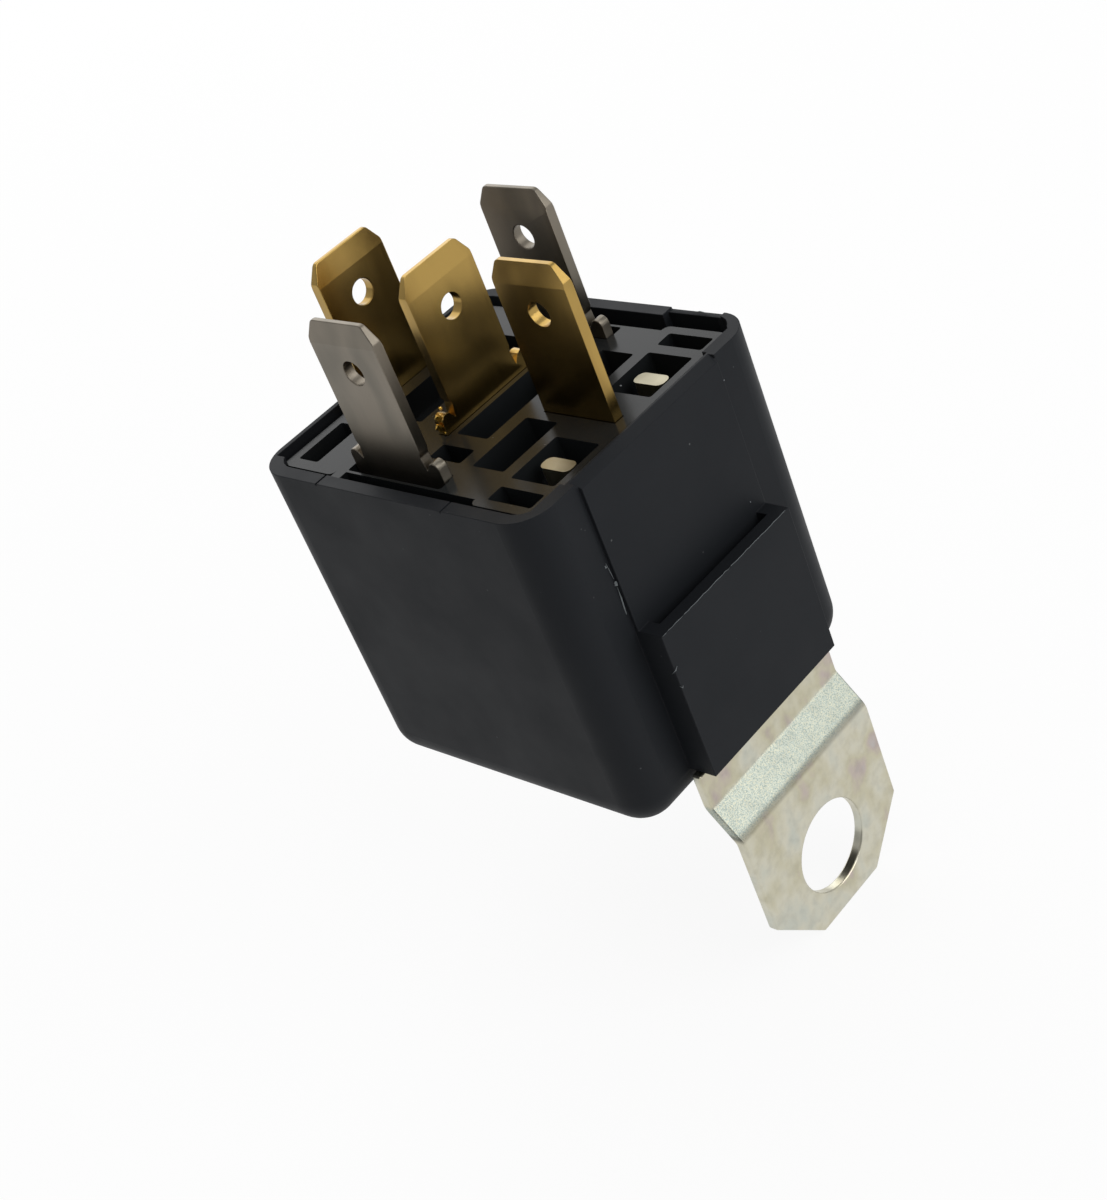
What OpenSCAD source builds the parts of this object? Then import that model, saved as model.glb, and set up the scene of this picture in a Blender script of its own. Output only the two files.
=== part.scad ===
// Change-over plug-in relay with a moulded pocket for a bolt-on bracket.
// Frame: z = 0 is the rim of the cover, the blades stand up along +Z, the
// bracket is on the +X side, and the z axis is the middle of blade 87a.

/* [Cover] */
// Width of the cover along X
cover_w = 26.5; // [25:0.1:28]
// Depth of the cover along Y
cover_d = 23.6; // [22:0.1:26]
// Height of the cover from the rim to its closed end
cover_h = 26.1; // [26:0.1:28]
// Distance of the cover's middle from the blade 87a axis
cover_shift = 1.45; // [1:0.05:2]
// Radius of the upright corners and of the edges of the closed end
cover_round = 2.7; // [2:0.1:3.5]
// Wall thickness
wall = 1.05; // [0.7:0.05:1.1]
// Wall left where the rim is rebated
rim_thin = 0.45; // [0.3:0.05:0.6]
// How far the middle panel stands proud of the bracket side
panel_proud = 0.3; // [0.1:0.05:0.5]
// Half width of that panel and of the bracket pocket
panel_half = 7; // [6:0.1:7.4]
// Width of the slope on the panel's top edge
panel_bevel = 0.85; // [0.4:0.05:0.9]
// Angle of that slope
panel_slope = 24; // [15:1:45]

/* [Bracket pocket] */
// How far the pocket stands out of the panel
pocket_out = 1.95; // [1.8:0.05:2.4]
// Level of the pocket's open top
pocket_top = -11.6; // [-13:0.1:-10]
// Level of the pocket's open bottom
pocket_bottom = -23.6; // [-24.5:0.1:-22]
// Thickness of the pocket's side cheeks
cheek = 1.1; // [0.8:0.05:1.4]

/* [Bracket] */
// Sheet thickness
sheet = 0.8; // [0.6:0.05:0.9]
// Full width of the plate
plate_w = 14.9; // [13:0.1:15]
// Offset of the lower plate from the upper strip
jog = 1.8; // [1:0.05:2.5]
// Level of the jog's upper bend
bend_top = -26.5; // [-27:0.1:-26]
// Level of the jog's lower bend
bend_end = -29.25; // [-31:0.05:-28.5]
// Level of the free end
plate_end = -41.7; // [-44:0.1:-40]
// Size of the two clipped corners
clip = 4.1; // [2:0.1:5]
// Diameter of the bolt hole
bolt_d = 6.9; // [5:0.1:7.5]
// Level of the bolt hole's centre
bolt_z = -36.27; // [-37:0.01:-35]

/* [Terminals] */
// Blade width
blade_w = 6.3; // [6.2:0.05:6.4]
// Blade thickness
blade_t = 0.8; // [0.75:0.01:0.85]
// Level of the blade tips
tip_z = 10.8; // [10:0.1:12]
// Diameter of the detent hole
detent_d = 1.8; // [1.5:0.05:2]
// Distance of the detent hole from the tip
detent_drop = 3.65; // [3.2:0.05:4.2]
// Y distance from blade 86 to blade 85
coil_pitch = 16.8; // [16.6:0.1:17]
// X position of blade 30
x_30 = 9.05; // [8.9:0.05:9.2]
// X position of blade 87
x_87 = -8.75; // [-8.9:0.05:-8.6]
// Half width across the ears at the foot of a blade
ear_half = 4.35; // [4:0.05:4.4]
// Level of the ears' round tops
ear_top = 0.95; // [0.6:0.05:1.2]

/* [Base] */
// Level of the base's deck
deck_z = -0.45; // [-1:0.05:-0.3]
// Level of the ledge around the deck
ledge_z = -2.2; // [-2.4:0.1:-1.8]
// Level of the base's underside
under_z = -3.4; // [-3.6:0.1:-3.2]
// Half depth of the deck's middle along Y
deck_half = 9.65; // [9.6:0.05:10]
// Half depth of the deck's two end fields
field_half = 10.2; // [9.9:0.05:10.4]
// Depth of the cored-out cells
cell_deep = 1.9; // [1.4:0.1:2.1]

/* [Magnet system] */
// X position of the coil axis
coil_x = 2.6; // [2.4:0.1:2.8]
// Radius of the iron core
core_r = 2.5; // [2.2:0.1:2.6]
// Radius of the winding
winding_r = 5.8; // [5:0.1:5.9]
// Radius of the bobbin flanges
flange_r = 6.3; // [6:0.1:6.4]
// Level of the pole face and of the yoke's knife edge
pole_z = -19.6; // [-19.8:0.1:-19.4]
// Thickness of the yoke's upright leg
yoke_t = 2.6; // [2.2:0.1:2.6]
// X position of the yoke's outer face
yoke_x = 12.2; // [12.1:0.05:12.3]
// Armature thickness
armature_t = 1.4; // [1.2:0.1:1.5]
// Angle between the released and the pulled-in armature, in degrees
stroke = 3.2; // [2.6:0.1:3.2]

/* [Contacts] */
// Thickness of the contact blade
leaf_t = 0.3; // [0.2:0.05:0.35]
// X position of the contacts with the armature pulled in
contact_x = -7.5; // [-7.7:0.1:-7.3]
// Radius of the contact buttons
button_r = 1.6; // [1.4:0.1:1.7]

/* [Hidden] */
$fn = 64;
eps = 0.01;
gap = 0.05;

// Cover limits
cx0 = cover_shift - cover_w / 2;
cx1 = cover_shift + cover_w / 2;
cy1 = cover_d / 2;
panel_x = cx1 + panel_proud;
inner_x = panel_x - wall;
pocket_x = panel_x + pocket_out;
end_wall = 1.2;
cavity_round = 1.75;
rebate_deep = 1.7;
rebate_from = 7.4;
rebate_drop = 0.15;
rebate_round = 1.9;
post_inner = cx1 - 1.15;
post_deep = 2.2;

// Bracket profile
strip_in = panel_x + gap;
slot_w = 2 * (panel_half - cheek);
tongue_w = slot_w - 0.2;
tongue_top = pocket_top - 2.6;
shoulder_z = pocket_bottom - 0.08;
bend_r = 0.6;
bend_steps = 8;
jog_angle = atan(jog / (bend_top - bend_end));
jog_top = bend_top + bend_r * tan(jog_angle / 2);
jog_end = bend_end - (bend_r + sheet) * tan(jog_angle / 2);

// Terminals
corner_steps = 5;
tip_cut_w = 0.72;
tip_cut_h = 1.26;
tip_round = 0.45;
bevel_h = 1.6;
bevel_in = 0.22;
ear_r = 0.5;
notch_top = 1.7;
notch_in = 0.15;
slot_gap = 0.06;
strip_t = 0.65;
y_coil = coil_pitch / 2;

// Base
ledge_gap = 0.08;
deck_x0 = -10.65;
deck_x1 = 13.35;
field_x0 = -5.4;
field_x1 = 8;
cell_round = 0.2;
shelf_half = 4.55;
shelf_deep = 0.9;

// Magnet system
seat_z = -6.2;
seat_t = 2;
foot_y = 4.8;
foot_w = 1.2;
foot_top = -0.75;
foot_round = 0.5;
flange_t = 0.9;
bobbin_top = seat_z - 0.05;
bobbin_end = pole_z + 0.7;
tube_r = core_r + 0.8;
rivet_r = 2;
pole_r = 4.2;
pole_t = 0.65;
armature_w = 10.4;
armature_x0 = -3.2;
horn_w = 1.1;
horn_h = 1;
yoke_half = 6.5;
recess_half = 1.6;
recess_deep = 0.8;
spring_x = 12.75;
spring_r = 0.9;
spring_wire = 0.13;
spring_top = -11;
spring_turns = 16;
hook_r = 0.45;
lug_z = -9.4;
lug_t = 0.6;
arm_in = pole_z - gap;
arm_out = arm_in - armature_t;
leaf_out = arm_out - leaf_t;

// Contacts: closed position, measured towards the closed end of the cover
moving_in = leaf_out + leaf_t + 0.5;
moving_out = leaf_out - 0.4;
no_face = moving_in + gap;
nc_drop = (yoke_x - contact_x) * sin(stroke) + button_r * sin(stroke);
nc_face = moving_out - nc_drop - 0.02;
carrier_t = 0.6;
nc_z = nc_face - 0.62;
no_z = no_face + 0.6;
nc_strip_x = -10.5;

// ---------- shared shapes ----------

// Box with rounded upright corners and a rounded bottom, open edge at the top
module round_cup(x0, x1, y0, y1, z0, z1, r) {
    for (x = [x0 + r, x1 - r], y = [y0 + r, y1 - r]) {
        translate([x, y, z0 + r])
            sphere(r = r);
        translate([x, y, z0 + r])
            cylinder(r = r, h = z1 - z0 - r);
    }
    for (y = [y0 + r, y1 - r])
        translate([x0 + r, y, z0 + r])
            rotate([0, 90, 0])
                cylinder(r = r, h = x1 - x0 - 2 * r);
    for (x = [x0 + r, x1 - r])
        translate([x, y0 + r, z0 + r])
            rotate([-90, 0, 0])
                cylinder(r = r, h = y1 - y0 - 2 * r);
    translate([x0 + r, y0 + r, z0])
        cube([x1 - x0 - 2 * r, y1 - y0 - 2 * r, z1 - z0]);
    translate([x0, y0 + r, z0 + r])
        cube([x1 - x0, y1 - y0 - 2 * r, z1 - z0 - r]);
    translate([x0 + r, y0, z0 + r])
        cube([x1 - x0 - 2 * r, y1 - y0, z1 - z0 - r]);
}

// Plate with rounded upright edges
module round_plate(x0, x1, y0, y1, z0, z1, r) {
    for (x = [x0 + r, x1 - r], y = [y0 + r, y1 - r])
        translate([x, y, z0])
            cylinder(r = r, h = z1 - z0);
    translate([x0 + r, y0, z0])
        cube([x1 - x0 - 2 * r, y1 - y0, z1 - z0]);
    translate([x0, y0 + r, z0])
        cube([x1 - x0, y1 - y0 - 2 * r, z1 - z0]);
}

// Box given by its two corners
module block(a, b) {
    translate(a)
        cube(b - a);
}

// Round wire between two points that differ along one axis
module wire(a, b, r) {
    d = b - a;
    turn = d.x != 0 ? [0, d.x > 0 ? 90 : -90, 0]
         : d.y != 0 ? [d.y > 0 ? -90 : 90, 0, 0]
         : [d.z > 0 ? 0 : 180, 0, 0];
    translate(a)
        rotate(turn)
            cylinder(r = r, h = norm(d), $fn = 24);
}

// Carries the armature group from its pulled-in place to its released place
module released() {
    translate([yoke_x, 0, pole_z])
        rotate([0, -stroke, 0])
            translate([-yoke_x, 0, -pole_z])
                children();
}

// ---------- cover ----------

module rim_cuts() {
    back_in = cy1 - rim_thin;
    // rebate along the far side and along part of the back
    block([cx0 + rim_thin, -cy1 + 1.9, -rebate_deep], [cx0 + 3, cy1 - 1.9, 1]);
    block([rebate_from, cy1 - 4.5, -rebate_deep], [rebate_from + 3, back_in, 1]);
    round_plate(rebate_from, post_inner, cy1 - 4.5, back_in, -rebate_deep, 1, rebate_round);
    block([rebate_from, cy1 - wall - eps, -rebate_drop], [cx1 - cover_round, cy1 + 1, 1]);
    // witness marks on the front rim
    for (x = [-5.2, 7])
        block([x, -cy1 - 1, -0.12], [x + 0.14, -cy1 + wall + 0.1, 1]);
}

module corner_posts() {
    // the rim is wider at the two corners beside the panel
    for (side = [-1, 1])
        intersection() {
            round_cup(cx0, cx1, -cy1, cy1, -cover_h, 0, cover_round);
            block([post_inner, side > 0 ? panel_half + 0.3 : -cy1 + 1.3, -post_deep],
                  [cx1, side > 0 ? cy1 - 1.3 : -panel_half - 0.3, 0]);
        }
}

module pocket_walls() {
    difference() {
        block([panel_x - 0.5, -panel_half, pocket_bottom], [pocket_x, panel_half, pocket_top]);
        block([panel_x - eps, -slot_w / 2, pocket_bottom - 1],
              [strip_in + sheet + gap, slot_w / 2, pocket_top + 1]);
    }
}

module cover() {
    color([0.11, 0.11, 0.12]) {
        difference() {
            union() {
                round_cup(cx0, cx1, -cy1, cy1, -cover_h, 0, cover_round);
                block([cx1 - 1, -panel_half, pocket_bottom], [panel_x, panel_half, -0.1]);
                pocket_walls();
            }
            round_cup(cx0 + wall, inner_x, -cy1 + wall, cy1 - wall,
                      -cover_h + end_wall, 2, cavity_round);
            rim_cuts();
            // slope on the panel's top edge
            translate([panel_x - panel_bevel, -panel_half - 0.15, 0])
                rotate([0, panel_slope, 0])
                    cube([2, 2 * panel_half + 0.3, 1]);
        }
        corner_posts();
    }
}

// ---------- bracket ----------

// Outer face of the jogged sheet as points [x, z], top to bottom; d moves it
// inwards by the sheet thickness
function sheet_side(d) =
    let (x = strip_in + sheet,
         ct = [x + bend_r, jog_top], cb = [x + jog - bend_r - sheet, jog_end])
    concat(
        [[x - d, tongue_top]],
        [for (i = [0:bend_steps]) let (a = 180 + jog_angle * i / bend_steps)
            [ct.x + (bend_r + d) * cos(a), ct.y + (bend_r + d) * sin(a)]],
        [for (i = [bend_steps:-1:0]) let (a = jog_angle * i / bend_steps)
            [cb.x + (bend_r + sheet - d) * cos(a), cb.y + (bend_r + sheet - d) * sin(a)]],
        [[x + jog - d, plate_end]]);

function reversed(p) = [for (i = [len(p) - 1:-1:0]) p[i]];

module bracket_profile() {
    rotate([90, 0, 0])
        linear_extrude(height = plate_w + 2, center = true)
            polygon(concat(sheet_side(0), reversed(sheet_side(sheet))));
}

module bracket_outline() {
    h = plate_w / 2;
    t = tongue_w / 2;
    translate([panel_x - 2, 0, 0])
        rotate([90, 0, 90])
            linear_extrude(height = 8)
                polygon([[-t, tongue_top - 0.6], [-t + 0.6, tongue_top + 1],
                         [t - 0.6, tongue_top + 1], [t, tongue_top - 0.6],
                         [t, shoulder_z], [h, shoulder_z], [h, plate_end + clip],
                         [h - clip, plate_end], [-h + clip, plate_end],
                         [-h, plate_end + clip], [-h, shoulder_z], [-t, shoulder_z]]);
}

module bracket() {
    color([0.80, 0.79, 0.74])
        difference() {
            intersection() {
                bracket_profile();
                bracket_outline();
            }
            translate([strip_in, 0, bolt_z])
                rotate([0, 90, 0])
                    cylinder(d = bolt_d, h = 6, center = true);
        }
}

// ---------- terminals ----------

// Points that round the corner b between a and c with radius r
function rounded(a, b, c, r) =
    let (u = (a - b) / norm(a - b), v = (c - b) / norm(c - b),
         half = acos(u * v) / 2, m = (u + v) / norm(u + v),
         o = b + m * r / sin(half), p = b + u * r / tan(half) - o, turn = cross(u, v) < 0 ? 1 : -1,
         a0 = atan2(p.y, p.x), sweep = turn * (180 - 2 * half))
    [for (i = [0:corner_steps]) let (w = a0 + sweep * i / corner_steps)
        [o.x + r * cos(w), o.y + r * sin(w)]];

// Right half of a blade's outline from the foot up to the tip; an eared blade
// has a notch and a round-topped ear on each side
function ear_side(s, h) = [[s - 0.4, under_z], [s, under_z + 0.4], [s, ear_top - ear_r],
    each [for (i = [1:corner_steps]) let (w = 160 * i / corner_steps)
        [s - ear_r + ear_r * cos(w), ear_top - ear_r + ear_r * sin(w)]],
    [h, 0.3], [h - notch_in, notch_top - 0.4], [h, notch_top]];
function plain_side(h) = [[h, under_z]];
function tip_side(h, top) = [
    each rounded([h, 0], [h, top - tip_cut_h], [h - tip_cut_w, top], tip_round),
    each rounded([h, top - tip_cut_h], [h - tip_cut_w, top], [-h, top], tip_round)];

// Flat outline of a blade, width along X
module blade_outline(stem, eared, top) {
    h = blade_w / 2;
    side = concat([[stem, under_z]], eared ? ear_side(ear_half, h) : plain_side(h), tip_side(h, top));
    polygon(concat(side, [for (i = [len(side) - 1:-1:0]) [-side[i].x, side[i].y]]));
}

// Blade with bevelled tip faces and a detent hole; lift raises its tip
module blade(eared = true, lift = 0, stem = 2) {
    top = tip_z + lift;
    difference() {
        rotate([90, 0, 0])
            linear_extrude(height = blade_t, center = true)
                blade_outline(stem, eared, top);
        translate([0, 0, top - detent_drop])
            rotate([90, 0, 0])
                cylinder(d = detent_d, h = 2, center = true);
        for (side = [-1, 1])
            scale([1, side, 1])
                translate([0, blade_t / 2, top - bevel_h])
                    rotate([atan(bevel_in / bevel_h), 0, 0])
                        translate([-blade_w, 0, 0])
                            cube([2 * blade_w, 1, 2 * bevel_h]);
    }
}

module coil_terminal(side, lift) {
    translate([0, side * y_coil, 0]) {
        blade(lift = lift);
        block([-1.2, -blade_t / 2, under_z - 4.6], [1.2, blade_t / 2, under_z]);
    }
}

module terminal_86() {
    color([0.72, 0.72, 0.70])
        coil_terminal(-1, 0.18);
}

module terminal_85() {
    color([0.72, 0.72, 0.70])
        coil_terminal(1, 0);
}

module terminal_30() {
    color([0.72, 0.60, 0.36]) {
        translate([x_30, 0, 0])
            blade(eared = false, lift = 0.13);
        block([x_30 - 2.8, -blade_t / 2, under_z - strip_t], [x_30 + 0.2, y_coil - 0.2, under_z - gap]);
        block([x_30 - 2.8, -blade_t / 2, under_z - strip_t], [x_30 + 0.2, blade_t / 2, under_z]);
    }
}

module terminal_87() {
    color([0.72, 0.60, 0.36]) {
        translate([x_87, 0, 0])
            rotate([0, 0, 90])
                blade();
        block([x_87 - blade_t / 2, -2.5, no_z], [x_87 + blade_t / 2, 2.5, under_z]);
        block([x_87 - blade_t / 2, -2.2, no_z], [contact_x + button_r + 0.2, 2.2, no_z + 0.7]);
    }
}

module terminal_87a() {
    y0 = 3.5;
    y1 = 6.5;
    color([0.72, 0.60, 0.36]) {
        rotate([0, 0, 90])
            blade(lift = -0.3);
        block([-blade_t / 2, -blade_w / 2, under_z - strip_t], [blade_t / 2, y1, under_z - gap]);
        block([-blade_t / 2, -2, under_z - strip_t], [blade_t / 2, 2, under_z]);
        block([nc_strip_x, y0, under_z - strip_t], [blade_t / 2, y1, under_z - gap]);
        block([nc_strip_x, y0, nc_z - carrier_t], [nc_strip_x + carrier_t, y1, under_z - gap]);
        block([nc_strip_x, -2.2, nc_z - carrier_t], [contact_x + button_r + 0.3, 2.2, nc_z]);
        block([nc_strip_x, 0, nc_z - carrier_t], [nc_strip_x + 3, y1, nc_z]);
    }
}

// ---------- base ----------

// Cells of one half of the deck: x from, x to, y from, y to
cells = [[8.9, 12.75, 2.6, 7.15], [8.9, 12.75, 8.05, 9.45], [5, 7.9, 1.25, 6.75],
         [0.85, 3.85, 5.25, 6.75], [-4.8, -2.1, 5.4, 7], [-9.9, -7.9, 5, 9.3]];
// Cells that cross the middle line: x from, x to, half depth along Y
middle_cells = [[0.9, 3.85, 4], [-7, -3.1, 3.5]];

module cell(x0, x1, y0, y1, deep = cell_deep) {
    round_plate(x0, x1, y0, y1, deck_z - deep, 1, cell_round, $fn = 24);
}

// Slot for a blade, width along X
module blade_slot(half) {
    w = 2 * (half + slot_gap);
    t = blade_t + 2 * slot_gap;
    translate([-w / 2, -t / 2, under_z - 1])
        cube([w, t, 6]);
}

// Half of the deck's raised parts; the other half is its mirror image
module deck_half_body() {
    fit_y = cy1 - wall - ledge_gap;
    for (f = [[deck_x0, field_x0], [field_x1, deck_x1]])
        round_plate(f[0], f[1], 0, field_half, under_z, deck_z, 0.5);
    // tabs that reach the cover's wall
    block([field_x0, deck_half - 1, under_z], [field_x0 + 0.9, fit_y, deck_z]);
    block([-10, field_half - 1, under_z], [field_x0, fit_y, deck_z - 0.5]);
    block([field_x1 - 0.8, deck_half - 1, under_z], [12.2, fit_y, deck_z - 0.9]);
}

module base() {
    color([0.09, 0.09, 0.10])
        difference() {
            union() {
                // ledge that fits the cover
                round_plate(cx0 + wall + ledge_gap, inner_x - ledge_gap,
                            -cy1 + wall + ledge_gap, cy1 - wall - ledge_gap,
                            under_z, ledge_z, cavity_round);
                block([deck_x0 + 1, -deck_half, under_z], [deck_x1 - 1, deck_half, deck_z]);
                for (side = [-1, 1])
                    scale([1, side, 1])
                        deck_half_body();
                block([deck_x0, -2, under_z], [deck_x1, 2, deck_z]);
            }
            for (side = [-1, 1])
                scale([1, side, 1]) {
                    for (c = cells)
                        cell(c[0], c[1], c[2], c[3]);
                    // shelf in front of a coil blade
                    cell(-shelf_half, shelf_half, y_coil, deck_half - 0.2, shelf_deep);
                    // holes for the yoke's feet
                    block([yoke_x - yoke_t - gap, foot_y - foot_w / 2 - gap, under_z - 1],
                          [yoke_x + gap, foot_y + foot_w / 2 + gap, deck_z]);
                    translate([0, y_coil, 0])
                        blade_slot(ear_half);
                }
            for (c = middle_cells)
                cell(c[0], c[1], -c[2], c[2]);
            translate([x_30, 0, 0])
                blade_slot(blade_w / 2);
            for (x = [x_87, 0])
                translate([x, 0, 0])
                    rotate([0, 0, 90])
                        blade_slot(ear_half);
        }
}

// ---------- magnet system ----------

module yoke() {
    color([0.62, 0.62, 0.60])
        difference() {
            union() {
                // upright leg, seat under the coil, feet and horns
                block([yoke_x - yoke_t, -yoke_half, pole_z], [yoke_x, yoke_half, under_z - gap]);
                block([-4, -5.5, seat_z], [yoke_x - yoke_t + eps, 5.5, seat_z + seat_t]);
                for (side = [-1, 1])
                    scale([1, side, 1]) {
                        round_plate(yoke_x - yoke_t, yoke_x, foot_y - foot_w / 2,
                                    foot_y + foot_w / 2, under_z - 1, foot_top, foot_round);
                        block([yoke_x - yoke_t, yoke_half - horn_w, pole_z - horn_h],
                              [yoke_x, yoke_half, pole_z + 1]);
                    }
                block([yoke_x - yoke_t + 0.5, -1.2, lug_z], [spring_x + 0.6, 1.2, lug_z + lug_t]);
            }
            // recess for the return spring, and the hole in its lug
            block([yoke_x - recess_deep, -recess_half, pole_z - 1],
                  [yoke_x + 1, recess_half, lug_z - eps]);
            translate([spring_x, 0, lug_z - 1])
                cylinder(r = hook_r, h = 3);
            translate([coil_x, 0, seat_z - 1])
                cylinder(r = rivet_r, h = 4);
            // room for the foot of blade 30
            block([yoke_x - yoke_t - 1, -3.2, under_z - 1], [yoke_x + 1, 3.2, 0]);
        }
}

module core() {
    color([0.66, 0.66, 0.65]) {
        translate([coil_x, 0, pole_z])
            cylinder(r = core_r, h = seat_z - pole_z);
        translate([coil_x, 0, pole_z])
            cylinder(r = pole_r, h = pole_t);
        translate([coil_x, 0, seat_z])
            cylinder(r = rivet_r, h = seat_t);
    }
}

module bobbin() {
    color([0.86, 0.83, 0.74])
        translate([coil_x, 0, 0])
            difference() {
                union() {
                    translate([0, 0, bobbin_end])
                        cylinder(r = tube_r, h = bobbin_top - bobbin_end);
                    for (z = [bobbin_end, bobbin_top - flange_t])
                        translate([0, 0, z])
                            cylinder(r = flange_r, h = flange_t);
                }
                translate([0, 0, bobbin_end - 1])
                    cylinder(r = core_r + 0.02, h = 20);
            }
}

module winding() {
    z0 = bobbin_end + flange_t + 0.02;
    z1 = bobbin_top - flange_t - 0.02;
    color([0.68, 0.36, 0.20])
        translate([coil_x, 0, z0])
            rotate_extrude()
                polygon([[tube_r + 0.02, 0], [winding_r - 0.3, 0], [winding_r, 0.4],
                         [winding_r, z1 - z0 - 0.4], [winding_r - 0.3, z1 - z0],
                         [tube_r + 0.02, z1 - z0]]);
}

module armature() {
    half = armature_w / 2;
    color([0.66, 0.66, 0.65])
        released()
            difference() {
                union() {
                    block([armature_x0 + 1, -half, arm_out], [yoke_x - 0.1, half, arm_in]);
                    block([armature_x0, -half + 2, arm_out], [yoke_x - 0.1, half - 2, arm_in]);
                    block([yoke_x - 1, -1.25, arm_out], [spring_x + 0.75, 1.25, arm_in]);
                }
                translate([spring_x, 0, arm_out - 1])
                    cylinder(r = hook_r, h = 4);
                for (x = [1.5, 5.5])
                    translate([x, 0, arm_out - 1])
                        cylinder(r = 0.7, h = 4);
            }
}

module contact_blade() {
    color([0.80, 0.56, 0.34])
        released()
            difference() {
                union() {
                    block([-1, -2.6, leaf_out], [7.6, 2.6, arm_out]);
                    block([contact_x - 1.9, -1.9, leaf_out], [0, 1.9, arm_out]);
                }
                for (x = [1.5, 5.5])
                    translate([x, 0, leaf_out - 1])
                        cylinder(r = 0.7, h = 3);
                translate([contact_x, 0, leaf_out - 1])
                    cylinder(r = 0.8, h = 3);
            }
}

module blade_rivets() {
    color([0.70, 0.68, 0.62])
        released()
            for (x = [1.5, 5.5])
                translate([x, 0, 0]) {
                    translate([0, 0, leaf_out - 0.3])
                        cylinder(r = 1.1, h = 0.3);
                    translate([0, 0, leaf_out])
                        cylinder(r = 0.7, h = leaf_t + armature_t);
                }
}

module moving_contact() {
    color([0.84, 0.84, 0.82])
        released()
            translate([contact_x, 0, 0]) {
                translate([0, 0, moving_out])
                    cylinder(r = button_r - 0.1, h = leaf_out - moving_out);
                translate([0, 0, leaf_out])
                    cylinder(r = 0.8, h = leaf_t);
                translate([0, 0, arm_out])
                    cylinder(r = button_r - 0.1, h = moving_in - arm_out);
            }
}

module contact_no() {
    color([0.84, 0.84, 0.82])
        translate([contact_x, 0, no_face])
            cylinder(r = button_r, h = no_z - no_face);
}

module contact_nc() {
    color([0.84, 0.84, 0.82])
        translate([contact_x + 0.15, 0, nc_z])
            cylinder(r = button_r, h = nc_face - nc_z);
}

// ---------- spring, braid and wires ----------

spring_sides = 6;
spring_steps = 12;
spring_bottom = pole_z + 1.6;
function helix_ring(i) =
    let (a = 360 * i / spring_steps,
         z = spring_bottom + (spring_top - spring_bottom) * i / (spring_steps * spring_turns))
    [for (k = [0:spring_sides - 1]) let (b = 360 * k / spring_sides,
         r = spring_r + spring_wire * cos(b))
        [r * cos(a), r * sin(a), z + spring_wire * sin(b)]];

// Skin of a tube made of n rings of s points each
function tube_faces(n, s) = concat(
    [[for (k = [s - 1:-1:0]) k]],
    [for (i = [0:n - 2], k = [0:s - 1])
        [i * s + k, i * s + (k + 1) % s, (i + 1) * s + (k + 1) % s, (i + 1) * s + k]],
    [[for (k = [0:s - 1]) (n - 1) * s + k]]);

module return_spring() {
    n = spring_steps * spring_turns + 1;
    color([0.75, 0.75, 0.74])
        translate([spring_x, 0, 0]) {
            polyhedron(points = [for (i = [0:n - 1]) each helix_ring(i)],
                       faces = tube_faces(n, spring_sides), convexity = 10);
            // straight ends that hook through the lug and through the armature
            wire([spring_r, 0, spring_top], [spring_r, 0, spring_top + 0.5], spring_wire);
            wire([spring_r, 0, spring_top + 0.5], [0, 0, spring_top + 0.5], spring_wire);
            wire([0, 0, spring_top + 0.4], [0, 0, lug_z + lug_t + 0.35], spring_wire);
            wire([spring_r, 0, spring_bottom], [spring_r, 0, spring_bottom - 0.5], spring_wire);
            wire([spring_r, 0, spring_bottom - 0.5], [0, 0, spring_bottom - 0.5], spring_wire);
            wire([0, 0, spring_bottom - 0.4], [0, 0, arm_out - 0.3], spring_wire);
        }
}

braid_r = 0.6;
braid_sides = 8;
braid_steps = 6;
braid_pts = [[7.9, 7.4, -4.75], [8.6, 8.1, -6.5], [8.9, 8.3, -12], [8.9, 8.2, -18],
             [8.6, 7.4, -21.2], [7, 5, -22.7], [5, 2.6, -22.75], [4.1, 1.4, -22.7]];

// Smooth curve through the braid's points
function mix(a, b, c, d, t) =
    0.5 * ((2 * b) + (c - a) * t + (2 * a - 5 * b + 4 * c - d) * t * t
           + (3 * b - a - 3 * c + d) * t * t * t);
function pick(i) = braid_pts[max(0, min(len(braid_pts) - 1, i))];
function braid_at(u) =
    let (i = min(floor(u), len(braid_pts) - 2))
    mix(pick(i - 1), pick(i), pick(i + 1), pick(i + 2), u - i);
function unit(v) = v / norm(v);
function braid_ring(u) =
    let (p = braid_at(u), t = unit(braid_at(u + 0.02) - braid_at(u - 0.02)),
         a = unit(cross(t, [1, -0.6, 0])), b = cross(t, a))
    [for (k = [0:braid_sides - 1]) let (w = 360 * k / braid_sides)
        p + braid_r * (a * cos(w) + b * sin(w))];

module braid() {
    n = (len(braid_pts) - 1) * braid_steps + 1;
    color([0.74, 0.42, 0.24])
        polyhedron(points = [for (i = [0:n - 1]) each braid_ring(i / braid_steps)],
                   faces = tube_faces(n, braid_sides), convexity = 6);
}

module coil_leads() {
    x = 0.8;
    color([0.70, 0.34, 0.18])
        for (side = [-1, 1])
            wire([x, side * 5.6, -7.6], [x, side * (y_coil - blade_t / 2), -7.6], 0.2);
}

res_x = -6.6;
res_z = -7;
res_half = 3;
module resistor() {
    color([0.62, 0.48, 0.36])
        translate([res_x, 0, res_z])
            rotate([90, 0, 0]) {
                cylinder(r = 0.95, h = 2 * res_half - 1, center = true);
                for (s = [-1, 1])
                    translate([0, 0, s * (res_half - 0.7)])
                        cylinder(r = 1.15, h = 1.4, center = true);
            }
}

module resistor_leads() {
    color([0.75, 0.75, 0.74])
        for (side = [-1, 1]) {
            wire([res_x, side * res_half, res_z], [res_x, side * y_coil, res_z], 0.25);
            wire([res_x, side * y_coil, res_z], [-1.2, side * y_coil, res_z], 0.25);
            translate([res_x, side * y_coil, res_z])
                sphere(r = 0.25, $fn = 24);
        }
}

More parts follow.
